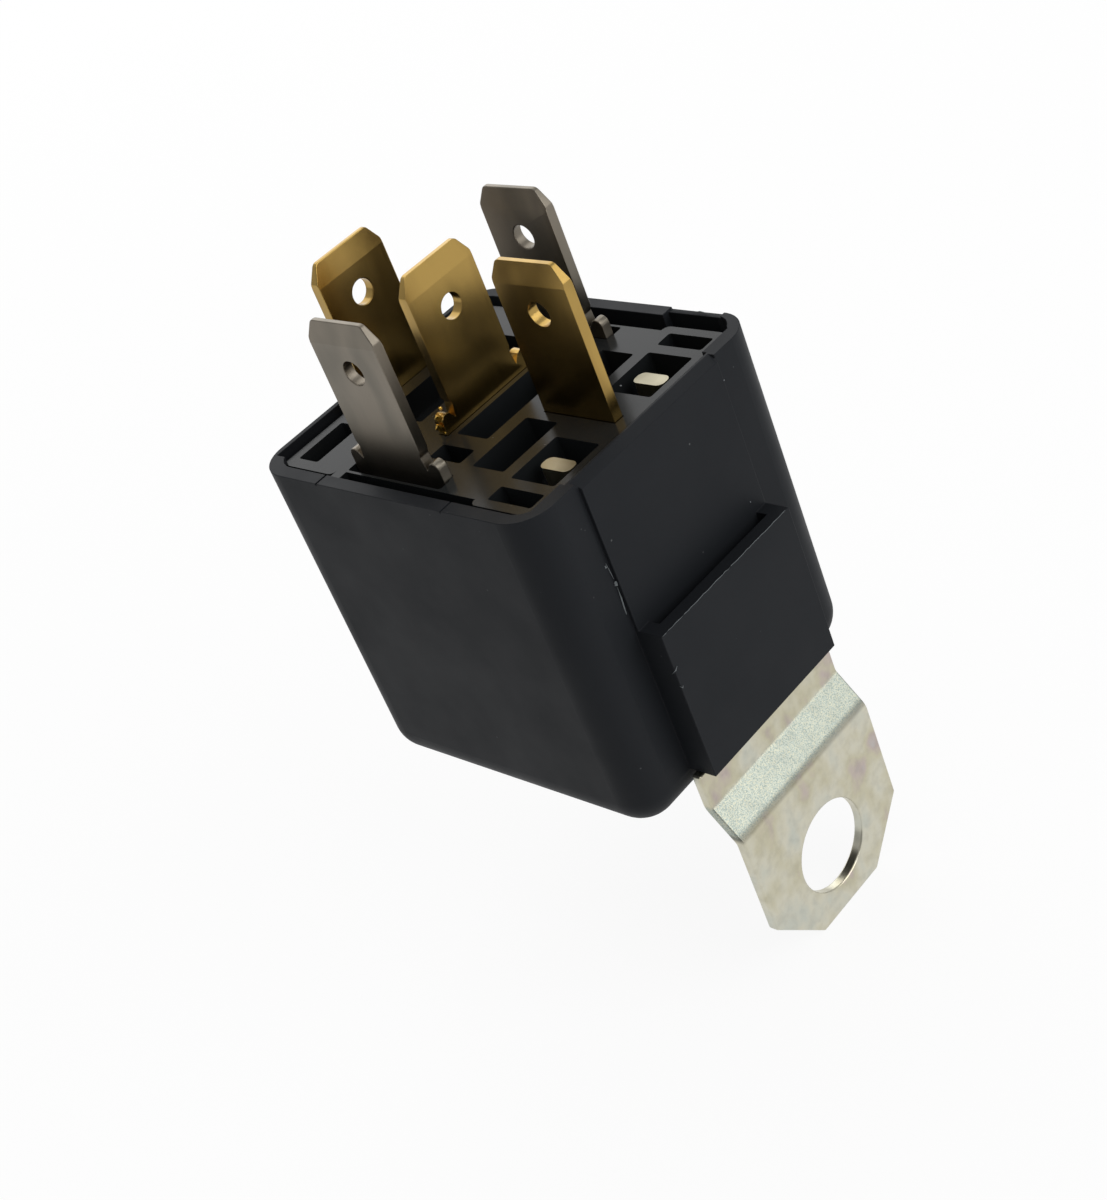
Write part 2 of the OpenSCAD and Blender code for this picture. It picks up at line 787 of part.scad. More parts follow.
cover();
base();
bracket();
terminal_86();
terminal_85();
terminal_30();
terminal_87();
terminal_87a();
bobbin();
winding();
core();
yoke();
armature();
contact_blade();
blade_rivets();
moving_contact();
contact_no();
contact_nc();
return_spring();
braid();
coil_leads();
resistor();
resistor_leads();
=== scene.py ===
import logging
import math
import random
from dataclasses import dataclass, field
from enum import Enum
from typing import Any, Dict, List, Optional, Sequence, Tuple

import bmesh
import bpy
from mathutils import Euler, Matrix, Vector

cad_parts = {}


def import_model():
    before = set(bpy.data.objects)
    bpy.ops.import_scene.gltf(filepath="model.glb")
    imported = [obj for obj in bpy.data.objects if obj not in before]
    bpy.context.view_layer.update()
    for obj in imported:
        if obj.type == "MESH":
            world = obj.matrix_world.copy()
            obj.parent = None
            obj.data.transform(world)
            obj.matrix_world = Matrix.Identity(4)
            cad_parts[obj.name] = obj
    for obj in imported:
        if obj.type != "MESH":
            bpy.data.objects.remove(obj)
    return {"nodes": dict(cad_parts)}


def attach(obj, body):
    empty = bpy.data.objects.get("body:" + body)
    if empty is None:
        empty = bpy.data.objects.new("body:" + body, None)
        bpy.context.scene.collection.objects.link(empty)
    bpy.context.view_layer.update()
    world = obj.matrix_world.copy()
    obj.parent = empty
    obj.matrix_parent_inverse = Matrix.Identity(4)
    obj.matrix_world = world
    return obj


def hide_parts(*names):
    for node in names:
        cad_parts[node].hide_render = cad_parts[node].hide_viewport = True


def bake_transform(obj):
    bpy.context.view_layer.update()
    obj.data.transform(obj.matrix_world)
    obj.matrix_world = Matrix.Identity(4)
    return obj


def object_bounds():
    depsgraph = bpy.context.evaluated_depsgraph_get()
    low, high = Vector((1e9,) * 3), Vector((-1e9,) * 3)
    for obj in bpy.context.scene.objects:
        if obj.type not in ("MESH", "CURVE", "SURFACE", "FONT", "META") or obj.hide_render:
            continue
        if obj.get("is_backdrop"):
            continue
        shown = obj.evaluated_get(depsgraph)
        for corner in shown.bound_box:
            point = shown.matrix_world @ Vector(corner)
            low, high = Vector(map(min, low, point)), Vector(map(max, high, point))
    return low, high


LOG = logging.getLogger("relay")
MM = 0.001
# faces smaller than this at the end of a rounding have no sound direction
SLIVER_MM2 = 0.01
# corners of a CAD mesh that are nearer than this are one corner
WELD_MM = 0.002
# edges shorter than this are dropped
SHORTEST_EDGE_MM = 0.001
# faces that turn by less than this, in degrees, are one flat face
FLAT_ANGLE = 0.6
# edges that bend by more than this, in degrees, are shaded sharp
SHARP_ANGLE = 32.0
# cells of the dust pattern per metre; one in a few of them holds a speck
DUST_CELLS_PER_M = 900.0
THREAD_SIDES = 6
# how thick a thread's end is, as a share of its middle
THREAD_TAPER = 0.4
# how far a crumb's surface wanders from its half sizes
CRUMB_REACH = (0.6, 1.15)

Links = Dict[str, Any]
Point = Tuple[float, float, float]


# ---------------------------------------------------------------- small tools

def linear(code: str) -> Tuple[float, float, float, float]:
    """Turns an sRGB hex colour into linear values.

    Args:
        code: Six hex digits with a leading hash.

    Returns:
        Linear red, green, blue and an alpha of 1.
    """
    parts = [int(code[i:i + 2], 16) / 255.0 for i in (1, 3, 5)]
    lin = [p / 12.92 if p <= 0.04045 else ((p + 0.055) / 1.055) ** 2.4 for p in parts]
    return lin[0], lin[1], lin[2], 1.0


def add_node(tree: bpy.types.NodeTree, kind: str, links: Optional[Links] = None,
             values: Optional[Dict[Any, Any]] = None, **settings: Any) -> bpy.types.Node:
    """Adds a shader node with its settings, values and incoming links.

    Args:
        tree: The node tree that gets the node.
        kind: The node's type name without the leading "ShaderNode".
        links: Input name or index mapped to the output socket that feeds it.
        values: Input name or index mapped to its fixed value.
        **settings: Attributes of the node itself.

    Returns:
        The new node.
    """
    node = tree.nodes.new("ShaderNode" + kind)
    for key, value in settings.items():
        setattr(node, key, value)
    for key, value in (values or {}).items():
        node.inputs[key].default_value = value
    for key, socket in (links or {}).items():
        tree.links.new(socket, node.inputs[key])
    return node


def ramp(tree: bpy.types.NodeTree, source: Any,
         stops: Sequence[Tuple[float, Tuple[float, ...]]]) -> Any:
    """Adds a colour ramp.

    Args:
        tree: The node tree.
        source: The output socket that drives the ramp.
        stops: Positions and linear colours, in rising order.

    Returns:
        The ramp's colour output.
    """
    node = add_node(tree, "ValToRGB", {"Fac": source})
    while len(node.color_ramp.elements) < len(stops):
        node.color_ramp.elements.new(0.5)
    for element, (position, colour) in zip(node.color_ramp.elements, stops):
        element.position = position
        element.color = colour
    return node.outputs["Color"]


def grey(level: float) -> Tuple[float, float, float, float]:
    """Returns a linear grey."""
    return level, level, level, 1.0


def noise(tree: bpy.types.NodeTree, size_mm: float, detail: float = 3.0,
          stretch: Point = (1.0, 1.0, 1.0), shift: Point = (0.0, 0.0, 0.0)) -> Any:
    """Adds a noise pattern on object coordinates.

    Args:
        tree: The node tree.
        size_mm: Size of the pattern's patches in millimetres.
        detail: Octaves of finer pattern.
        stretch: Scale of the pattern along each axis.
        shift: Offset of the pattern, in metres.

    Returns:
        The factor output.
    """
    place = add_node(tree, "TexCoord")
    mapped = add_node(tree, "Mapping", {"Vector": place.outputs["Object"]},
                      {"Scale": stretch, "Location": shift})
    pattern = add_node(tree, "TexNoise", {"Vector": mapped.outputs["Vector"]},
                       {"Scale": 1.0 / (size_mm * MM), "Detail": detail, "Roughness": 0.55})
    return pattern.outputs["Fac"]


# ------------------------------------------------------------------- finishes

@dataclass(frozen=True)
class Finish:
    """A surface finish with the values that every finish has."""

    name: str
    colour: str
    roughness: float

    def fresh(self) -> Tuple[bpy.types.Material, bpy.types.NodeTree, bpy.types.Node]:
        """Starts an empty material.

        Returns:
            The material, its node tree and its Principled shader.
        """
        material = bpy.data.materials.new(self.name)
        material.use_nodes = True
        tree = material.node_tree
        tree.nodes.clear()
        shader = add_node(tree, "BsdfPrincipled", None,
                          {"Base Color": linear(self.colour), "Roughness": self.roughness})
        add_node(tree, "OutputMaterial", {"Surface": shader.outputs["BSDF"]})
        return material, tree, shader

    def make(self) -> bpy.types.Material:
        """Returns the finished material."""
        return self.fresh()[0]


@dataclass(frozen=True)
class MouldedPlastic(Finish):
    """Injection moulded polyamide or PBT: fine satin grain, dust and handling marks."""

    ior: float = 1.53
    sheen: float = 0.2
    grain_mm: float = 0.12
    grain_depth: float = 0.05
    dust: float = 0.3

    def make(self) -> bpy.types.Material:
        """Makes the finished material.

        Returns:
            The material.
        """
        material, tree, shader = self.fresh()
        shader.inputs["IOR"].default_value = self.ior
        # below the plastic's own mirror level, so that the white floor leaves it black
        shader.inputs["Specular IOR Level"].default_value = self.sheen
        # broad cloudiness of the sheen, from the flow of the plastic
        cloud = noise(tree, 6.0, 4.0)
        rough = add_node(tree, "MapRange", {"Value": cloud},
                         {"From Min": 0.3, "From Max": 0.7, "To Min": self.roughness - 0.05,
                          "To Max": self.roughness + 0.07})
        tree.links.new(rough.outputs["Result"], shader.inputs["Roughness"])
        # specks of dust, drawn coarser than real dust so that they show
        place = add_node(tree, "TexCoord")
        cells = add_node(tree, "TexVoronoi", {"Vector": place.outputs["Object"]},
                         {"Scale": DUST_CELLS_PER_M, "Randomness": 1.0})
        speck = ramp(tree, cells.outputs["Distance"],
                     [(0.0, grey(1.0)), (0.045, grey(1.0)), (0.07, grey(0.0))])
        few = ramp(tree, noise(tree, 1.6, 2.0, shift=(0.013, 0.07, 0.021)),
                   [(0.55, grey(0.0)), (0.68, grey(1.0))])
        both = add_node(tree, "MixRGB", {"Color1": speck, "Color2": few}, {"Fac": 1.0},
                        blend_type="MULTIPLY")
        amount = add_node(tree, "MixRGB", {"Color2": both.outputs["Color"]},
                          {"Fac": 1.0, "Color1": grey(self.dust)}, blend_type="MULTIPLY")
        base = add_node(tree, "MixRGB", {"Fac": amount.outputs["Color"]},
                        {"Color1": linear(self.colour), "Color2": linear("#8d8f8f")})
        tree.links.new(base.outputs["Color"], shader.inputs["Base Color"])
        # moulded satin grain
        fine = noise(tree, self.grain_mm, 2.0)
        bump = add_node(tree, "Bump", {"Height": fine},
                        {"Strength": self.grain_depth, "Distance": 0.02 * MM})
        tree.links.new(bump.outputs["Normal"], shader.inputs["Normal"])
        return material


@dataclass(frozen=True)
class SheetMetal(Finish):
    """Rolled and punched strip, or drawn wire: fine lines along one way, and stains."""

    dark: str = "#6b6450"
    line_mm: float = 0.08
    along: Point = (1.0, 1.0, 0.05)
    stain: float = 0.5
    stain_mm: float = 2.2
    line_depth: float = 0.03
    streak: Point = (1.0, 1.0, 0.4)

    def make(self) -> bpy.types.Material:
        """Makes the finished material.

        Returns:
            The material.
        """
        material, tree, shader = self.fresh()
        shader.inputs["Metallic"].default_value = 1.0
        lines = noise(tree, self.line_mm, 3.0, self.along)
        patches = noise(tree, self.stain_mm, 1.5, self.streak, (0.02, 0.01, 0.05))
        patch = ramp(tree, patches, [(0.42, grey(0.0)), (0.68, grey(1.0))])
        amount = add_node(tree, "MixRGB", {"Color2": patch},
                          {"Fac": 1.0, "Color1": grey(self.stain)}, blend_type="MULTIPLY")
        base = add_node(tree, "MixRGB", {"Fac": amount.outputs["Color"]},
                        {"Color1": linear(self.colour), "Color2": linear(self.dark)})
        tree.links.new(base.outputs["Color"], shader.inputs["Base Color"])
        rough = add_node(tree, "MapRange", {"Value": lines},
                         {"From Min": 0.3, "From Max": 0.7, "To Min": self.roughness - 0.02,
                          "To Max": self.roughness + 0.03})
        tree.links.new(rough.outputs["Result"], shader.inputs["Roughness"])
        bump = add_node(tree, "Bump", {"Height": lines},
                        {"Strength": self.line_depth, "Distance": 0.01 * MM})
        tree.links.new(bump.outputs["Normal"], shader.inputs["Normal"])
        return material


@dataclass(frozen=True)
class PassivatedZinc(Finish):
    """Electroplated zinc with a thin clear passivation that shimmers yellow, pink and blue."""

    band_top: float = -26.5
    band_end: float = -29.0
    # width of the painted shade along the concave bend, in millimetres
    shade_line_mm: float = 0.45

    def bend_painted_shade(self, tree: bpy.types.NodeTree, level: Any) -> Any:
        """Adds the painted shade: a dark line along the concave bend.

        Args:
            tree: The node tree.
            level: Output socket with the Z position.

        Returns:
            A socket that is 1 in the middle of the line.
        """
        off = add_node(tree, "Math", {0: level}, {1: (self.band_end + 0.05) * MM},
                       operation="SUBTRACT")
        away = add_node(tree, "Math", {0: off.outputs["Value"]}, operation="ABSOLUTE")
        near = add_node(tree, "MapRange", {"Value": away.outputs["Value"]},
                        {"From Min": 0.0, "From Max": self.shade_line_mm * MM,
                         "To Min": 1.0, "To Max": 0.0},
                        interpolation_type="SMOOTHSTEP")
        return near.outputs["Result"]

    def make(self) -> bpy.types.Material:
        """Makes the finished material.

        Returns:
            The material.
        """
        material, tree, shader = self.fresh()
        shader.inputs["Metallic"].default_value = 1.0
        film = noise(tree, 3.6, 3.0, (1.0, 1.0, 0.7))
        plain = ramp(tree, film, [(0.30, linear("#b9bdb4")), (0.46, linear(self.colour)),
                                  (0.58, linear("#c0bba3")), (0.66, linear("#b9ada6")),
                                  (0.76, linear("#b4b6b6"))])
        # the pressed jog has a frosted, orange-peel skin
        place = add_node(tree, "TexCoord")
        split = add_node(tree, "SeparateXYZ", {"Vector": place.outputs["Object"]})
        upper = add_node(tree, "MapRange", {"Value": split.outputs["Z"]},
                         {"From Min": (self.band_top + 0.1) * MM,
                          "From Max": (self.band_top - 0.2) * MM,
                          "To Min": 0.0, "To Max": 1.0})
        lower = add_node(tree, "MapRange", {"Value": split.outputs["Z"]},
                         {"From Min": (self.band_end - 0.1) * MM,
                          "From Max": (self.band_end + 0.2) * MM,
                          "To Min": 0.0, "To Max": 1.0})
        band = add_node(tree, "Math", {0: upper.outputs["Result"], 1: lower.outputs["Result"]},
                        operation="MULTIPLY")
        # crystals of the frosted skin, green, yellow and grey
        grit = ramp(tree, noise(tree, 0.09, 1.0),
                    [(0.36, linear("#8f9890")), (0.5, linear("#aab2aa")),
                     (0.62, linear("#b9b8a4"))])
        frosted = add_node(tree, "MixRGB", {"Fac": band.outputs["Value"],
                                            "Color1": plain, "Color2": grit})
        # painted shade: the concave bend is darkened in its colour where it sees little light
        shade = ramp(tree, self.bend_painted_shade(tree, split.outputs["Z"]),
                     [(0.0, grey(1.0)), (1.0, grey(0.42))])
        # painted shade multiplied into the colour at the bend
        bend_shaded = add_node(tree, "MixRGB", {"Color1": frosted.outputs["Color"], "Color2": shade},
                         {"Fac": 1.0}, blend_type="MULTIPLY")
        # small dull spots left by the plating bath
        spots = ramp(tree, noise(tree, 0.9, 4.0, shift=(0.03, 0.01, 0.0)),
                     [(0.35, grey(0.9)), (0.55, grey(1.0)), (0.72, grey(1.0))])
        base = add_node(tree, "MixRGB", {"Color1": bend_shaded.outputs["Color"], "Color2": spots},
                        {"Fac": 1.0}, blend_type="MULTIPLY")
        tree.links.new(base.outputs["Color"], shader.inputs["Base Color"])
        rough = add_node(tree, "MapRange", {"Value": band.outputs["Value"]},
                         {"To Min": self.roughness, "To Max": self.roughness + 0.14})
        tree.links.new(rough.outputs["Result"], shader.inputs["Roughness"])
        peel = noise(tree, 0.16, 2.0)
        depth = add_node(tree, "MapRange", {"Value": band.outputs["Value"]},
                         {"To Min": 0.06, "To Max": 0.55})
        bump = add_node(tree, "Bump", {"Height": peel, "Strength": depth.outputs["Result"]},
                        {"Distance": 0.02 * MM})
        tree.links.new(bump.outputs["Normal"], shader.inputs["Normal"])
        return material


class Slot(Enum):
    """The finishes, by the record's material slot."""

    COVER = "cover_plastic"
    BASE = "base_plastic"
    ZINC = "zinc_plate"
    TINNED = "tinned_blade"
    BRASS = "brass_blade"
    BOBBIN = "bobbin_plastic"
    ENAMEL = "enamel_wire"
    IRON = "soft_iron"
    LEAF = "blade_alloy"
    RIVET = "rivet_steel"
    SILVER = "contact_silver"
    SPRING = "spring_steel"
    BRAID = "copper_braid"
    RESISTOR = "resistor_body"
    WIRE = "tinned_wire"


FINISHES: Dict[Slot, Finish] = {
    # black glass filled polyamide: satin, slightly cloudy, some dust
    Slot.COVER: MouldedPlastic("moulded_polyamide_black", "#1b1d20", 0.5, sheen=0.08, dust=0.3),
    # black polybutylene terephthalate from a polished tool: glossy
    Slot.BASE: MouldedPlastic("moulded_pbt_gloss_black", "#1b1d1e", 0.2, sheen=0.11,
                            grain_depth=0.03, dust=0.2),
    # zinc plated mild steel, thin clear passivation: pale with a faint shimmer
    Slot.ZINC: PassivatedZinc("zinc_plated_steel", "#cac7b6", 0.3),
    # tin plated brass blade: soft grey, slightly dull
    Slot.TINNED: SheetMetal("tin_plated_brass", "#7a7368", 0.36, dark="#58564e", stain=0.5),
    # bare brass blade: golden, with brown handling stains
    Slot.BRASS: SheetMetal("rolled_brass", "#a98c4f", 0.24, dark="#765f36", stain=0.45),
    # natural coloured nylon bobbin
    Slot.BOBBIN: MouldedPlastic("moulded_nylon_natural", "#cfc6a8", 0.4, dust=0.1),
    # enamelled copper wire: warm, glossy, wound in rows along Z
    Slot.ENAMEL: SheetMetal("enamelled_copper_wire", "#a8542a", 0.25, dark="#6d2f17",
                            line_mm=0.12, along=(0.05, 0.05, 1.0), line_depth=0.5),
    # annealed soft iron, thinly zinc plated and sheared
    Slot.IRON: SheetMetal("soft_iron_plated", "#9f9984", 0.4, dark="#6f6a58", line_depth=0.3),
    # copper alloy contact leaf
    Slot.LEAF: SheetMetal("rolled_bronze_leaf", "#c08a5a", 0.28, dark="#8a5a38"),
    # plated steel rivets
    Slot.RIVET: SheetMetal("plated_rivet_steel", "#b9b7b0", 0.3, dark="#8d8a80"),
    # silver tin oxide contact metal: white, slightly matt
    Slot.SILVER: SheetMetal("silver_contact_alloy", "#dcdcd8", 0.3, dark="#a9a8a2"),
    # drawn spring wire
    Slot.SPRING: SheetMetal("drawn_spring_wire", "#a4a5a6", 0.26, dark="#77787a"),
    # bare copper braid: strands seen as fine diagonal ridges
    Slot.BRAID: SheetMetal("braided_copper", "#b8683c", 0.38, dark="#7a3d20",
                           line_mm=0.12, along=(1.0, 1.0, 0.6), line_depth=0.9),
    # lacquered resistor body
    Slot.RESISTOR: MouldedPlastic("lacquered_resistor", "#8a5a3a", 0.3, dust=0.0),
    # tinned copper wire
    Slot.WIRE: SheetMetal("tinned_copper_wire", "#b8b8b4", 0.3, dark="#8e8e8a"),
}


# thin moulding flash, torn and whitened by the stress; its pale grey also paints the highlight on
# the edges of the pocket's lip and the panel's step
FLASH_AND_HIGHLIGHT = MouldedPlastic("torn_flash_and_painted_highlight", "#63686a", 0.55, dust=0.0)
# brass squeezed out and broken off at the blade's shoulders
SHEARED_BRASS = SheetMetal("sheared_brass_burr", "#d2a84a", 0.22, dark="#9a7430", stain=0.3)


class Paintbox:
    """Makes each finish once and hands it out."""

    def __init__(self) -> None:
        """Makes every material."""
        self.made: Dict[str, bpy.types.Material] = {
            f.name: f.make() for f in [*FINISHES.values(), FLASH_AND_HIGHLIGHT, SHEARED_BRASS]}

    def dress(self, obj: bpy.types.Object, slot: Slot, look: Optional[Finish] = None) -> None:
        """Gives an object one finish.

        Args:
            obj: The object to dress.
            slot: The finish.
            look: Another finish of the same material, if not the slot's own.
        """
        obj.data.materials.clear()
        obj.data.materials.append(self.made[(look or FINISHES[slot]).name])


# -------------------------------------------------------------- mesh handling

def closed_copy(node: bpy.types.Object, name: str) -> bpy.types.Object:
    """Copies a CAD node as a welded mesh with whole flat faces.

    Args:
        node: The CAD node's object.
        name: Name of the new object.

    Returns:
        The new object, linked to the scene, at the origin.
    """
    bm = bmesh.new()
    bm.from_mesh(node.data)
    bmesh.ops.remove_doubles(bm, verts=bm.verts, dist=WELD_MM * MM)
    bmesh.ops.dissolve_degenerate(bm, dist=SHORTEST_EDGE_MM * MM, edges=bm.edges)
    bmesh.ops.dissolve_limit(bm, angle_limit=math.radians(FLAT_ANGLE),
                             use_dissolve_boundaries=False, verts=bm.verts, edges=bm.edges,
                             delimit={"NORMAL"})
    return from_bmesh(bm, name)


def from_bmesh(bm: bmesh.types.BMesh, name: str) -> bpy.types.Object:
    """Turns a bmesh into a linked object and frees it.

    Args:
        bm: The mesh data.
        name: Name of the object.

    Returns:
        The new object.
    """
    mesh = bpy.data.meshes.new(name)
    bm.to_mesh(mesh)
    bm.free()
    for face in mesh.polygons:
        face.use_smooth = True
    mesh.set_sharp_from_angle(angle=math.radians(SHARP_ANGLE))
    obj = bpy.data.objects.new(name, mesh)
    bpy.context.scene.collection.objects.link(obj)
    return obj


def soften(obj: bpy.types.Object, width_mm: float, segments: int = 2, angle: float = 28.0,
           facet_mm: Optional[float] = None) -> None:
    """Rounds an object's sharp edges.

    Args:
        obj: The object.
        width_mm: Width of the rounding.
        segments: Steps across it.
        angle: Edges bent by more than this many degrees are rounded.
        facet_mm: Width below which a face is part of a curve and is shaded smooth, while
            wider faces and slivers stay flat. Left out, the rounding sets the normals,
            which goes wrong on a flat face with many openings.
    """
    if facet_mm is not None:
        mesh = obj.data
        for face in mesh.polygons:
            corners = [mesh.vertices[i].co for i in face.vertices]
            longest = max((a - b).length for a, b in zip(corners, corners[1:] + corners[:1]))
            narrow = face.area / longest < facet_mm * MM
            face.use_smooth = narrow and face.area > SLIVER_MM2 * MM ** 2
    bevel = obj.modifiers.new("edge_rounding", "BEVEL")
    bevel.width = width_mm * MM
    bevel.segments = segments
    bevel.limit_method = "ANGLE"
    bevel.angle_limit = math.radians(angle)
    bevel.harden_normals = facet_mm is None
    bevel.use_clamp_overlap = True
    bevel.miter_outer = "MITER_ARC"


def strands(name: str, routes: Sequence[Tuple[float, Sequence[Point]]]) -> bpy.types.Object:
    """Makes thin closed threads with tapered ends.

    Args:
        name: Name of the object.
        routes: For each thread its radius and its points, in millimetres.

    Returns:
        The new object.
    """
    bm = bmesh.new()
    for radius, points in routes:
        path = [Vector(p) * MM for p in points]
        rings = []
        for i, spot in enumerate(path):
            way = (path[min(i + 1, len(path) - 1)] - path[max(i - 1, 0)]).normalized()
            side = way.orthogonal().normalized()
            over = way.cross(side)
            reach = radius * MM * (THREAD_TAPER if i in (0, len(path) - 1) else 1.0)
            rings.append([bm.verts.new(spot + reach * (math.cos(t) * side + math.sin(t) * over))
                          for t in (k * math.tau / THREAD_SIDES for k in range(THREAD_SIDES))])
        for low, high in zip(rings, rings[1:]):
            # start each ring's faces from the vertex nearest to the last one
            first = min(range(THREAD_SIDES), key=lambda k: (high[k].co - low[0].co).length)
            high[:] = high[first:] + high[:first]
            for k in range(THREAD_SIDES):
                after = (k + 1) % THREAD_SIDES
                bm.faces.new((low[k], low[after], high[after], high[k]))
        bm.faces.new(list(reversed(rings[0])))
        bm.faces.new(rings[-1])
    bmesh.ops.recalc_face_normals(bm, faces=bm.faces)
    return from_bmesh(bm, name)


def crumbs(name: str, spots: Sequence[Tuple[Point, Point]], seed: int) -> bpy.types.Object:
    """Makes small irregular lumps.

    Args:
        name: Name of the object.
        spots: For each lump its centre and its half sizes, in millimetres.
        seed: Seed of the random dents.

    Returns:
        The new object.
    """
    dice = random.Random(seed)
    bm = bmesh.new()
    for centre, half in spots:
        made = bmesh.ops.create_icosphere(bm, subdivisions=2, radius=1.0)
        for vert in made["verts"]:
            reach = dice.uniform(*CRUMB_REACH)
            vert.co = Vector([(c + h * reach * v) * MM for c, h, v in zip(centre, half, vert.co)])
    return from_bmesh(bm, name)


def weld_bead(name: str, centre: Point, half: Point) -> bpy.types.Object:
    """Makes the smooth bead that joins the end of the copper rope to a sheet.

    Args:
        name: Name of the object.
        centre: Its centre, in millimetres.
        half: Its half sizes, in millimetres.

    Returns:
        The new object.
    """
    bm = bmesh.new()
    made = bmesh.ops.create_icosphere(bm, subdivisions=3, radius=1.0)
    for vert in made["verts"]:
        vert.co = Vector([(c + h * v) * MM for c, h, v in zip(centre, half, vert.co)])
    return from_bmesh(bm, name)


@dataclass
class Piece:
    """One dressed piece and how it stands to the CAD.

    A piece with a span joins the housing to the armature between its two points; it is shown as a
    welded copy of its CAD mesh that rides on no body.
    """

    node: str
    slot: Slot
    rounding_mm: float = 0.0
    segments: int = 2
    facet_mm: Optional[float] = None
    span_mm: Optional[Tuple[Point, Point]] = None


@dataclass
class SubAssembly:
    """Pieces that ride on one body."""

    body: str
    paint: Paintbox
    nodes: Dict[str, bpy.types.Object]
    pieces: List[Piece] = field(default_factory=list)

    def build(self) -> None:
        """Rounds, dresses and places every piece of the sub-assembly."""
        for piece in self.pieces:
            source = self.nodes[piece.node]
            if piece.span_mm:
                self.bend(closed_copy(source, piece.node + "_shown"), piece)
                continue
            if piece.rounding_mm <= 0:
                self.paint.dress(source, piece.slot)
                LOG.info("%s: CAD mesh, %s", piece.node, piece.slot.value)
                continue
            obj = closed_copy(source, piece.node + "_shown")
            soften(obj, piece.rounding_mm, piece.segments, facet_mm=piece.facet_mm)
            self.finish(obj, piece.slot, piece.node)
        self.extras()

    def finish(self, obj: bpy.types.Object, slot: Slot, *replaced: str,
               look: Optional[Finish] = None) -> None:
        """Dresses a new piece and puts it on the body.

        Args:
            obj: The piece.
            slot: Its finish.
            *replaced: CAD nodes that it stands for.
            look: Another finish of the same material, if not the slot's own.
        """
        self.paint.dress(obj, slot, look)
        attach(obj, self.body)
        if replaced:
            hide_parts(*replaced)
        LOG.info("%s: %s", obj.name, slot.value)

    def bend(self, obj: bpy.types.Object, piece: Piece) -> None:
        """Dresses a flexible piece that joins the housing to the armature.

        Args:
            obj: The piece.
            piece: Its node, finish and span.
        """
        self.paint.dress(obj, piece.slot)
        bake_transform(obj)
        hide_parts(piece.node)
        LOG.info("%s: %s, bends with the armature", obj.name, piece.slot.value)

    def extras(self) -> None:
        """Adds what the CAD leaves out. The plain sub-assembly adds nothing."""


class Housing(SubAssembly):
    """Cover and base."""

    step_x: float = 14.72
    face_x: float = 16.97
    edge_z: float = -11.6

    def extras(self) -> None:
        """Adds torn moulding flash at the cover's panel, pocket and rim; the pale lip, step thread
        and step fleck are partly a painted highlight along those edges.
        """
        dice = random.Random(7)
        lip = [(self.face_x - 0.02, -6.9 + 13.5 * i / 40, self.edge_z + dice.uniform(-0.02, 0.04))
               for i in range(41)]
        self.finish(strands("flash_and_highlight_threads", [
            # ragged lip along the pocket's upper edge, partly a painted highlight along that edge
            (0.022, lip),
            # thread in the panel's left step, above and below the fleck, partly a painted highlight
            # along the step's edge
            (0.03, [(self.step_x, -7.2, -6.0), (self.step_x, -7.12, -6.7),
                    (self.step_x + 0.03, -7.08, -7.3)]),
            (0.05, [(self.step_x, -7.05, -8.0), (self.step_x + 0.04, -7.1, -8.8),
                    (self.step_x, -7.14, -9.6), (self.step_x, -7.16, -10.1)]),
            # hairs on the pocket's left edge
            (0.035, [(self.face_x, -7.3, -14.4), (self.face_x + 0.1, -6.98, -14.3),
                     (self.face_x + 0.02, -6.7, -14.2)]),
            (0.035, [(self.face_x, -7.1, -15.6), (self.face_x + 0.08, -6.95, -15.8),
                     (self.face_x, -6.8, -15.75)]),
            # pale thread on the back rim
            (0.05, [(9.5, 11.5, -0.02), (10.1, 11.55, 0.01), (10.9, 11.5, -0.02)]),
        ]), Slot.COVER, look=FLASH_AND_HIGHLIGHT)
        self.finish(crumbs("flash_and_highlight_flecks", [
            # the pale fleck in the panel's left step is partly a painted highlight
            ((self.step_x + 0.03, -6.98, -7.7), (0.12, 0.24, 0.2)),
            ((self.step_x, -7.3, -6.2), (0.05, 0.07, 0.12)),
            ((8.93, 0.85, -0.44), (0.07, 0.07, 0.05)),
            ((9.6, 3.3, -0.44), (0.09, 0.07, 0.05)),
            ((15.0, 7.0, -1.8), (0.04, 0.06, 0.06)),
            ((15.0, 5.7, -10.6), (0.04, 0.05, 0.07)),
        ], 11), Slot.COVER, look=FLASH_AND_HIGHLIGHT)


class BladeSet(SubAssembly):
    """The five blades."""

    def extras(self) -> None:
        """Adds the crumpled burrs at the shoulders of the middle blade."""
        self.finish(crumbs("blade_87a_burrs", [
            ((0.05, -4.15, 0.75), (0.3, 0.3, 0.3)), ((0.1, -4.45, 0.2), (0.32, 0.3, 0.36)),
            ((0.15, -4.2, -0.25), (0.26, 0.26, 0.24)), ((0.0, -3.75, 1.25), (0.2, 0.14, 0.12)),
            ((0.1, 3.6, 0.35), (0.26, 0.3, 0.3)), ((0.12, 4.2, 0.3), (0.26, 0.26, 0.3)),
        ], 5), Slot.BRASS, look=SHEARED_BRASS)


class MagnetSystem(SubAssembly):
    """Coil, yoke, fixed contacts and the flexible pieces inside the cover."""

    def extras(self) -> None:
        """Adds the bead between the rope and the strap of the common blade."""
        self.finish(weld_bead("rope_bead_strap", (7.95, 7.45, -4.3), (0.8, 0.68, 0.45)), Slot.WIRE)


class Clapper(SubAssembly):
    """The moving armature group."""

    def extras(self) -> None:
        """Adds the bead between the rope and the leaf."""
        self.finish(weld_bead("rope_bead_leaf", (4.3, 1.6, -22.05), (0.85, 0.6, 0.4)), Slot.WIRE)


class MountingBracket(SubAssembly):
    """The plated bracket."""


# -------------------------------------------------------------------- studio

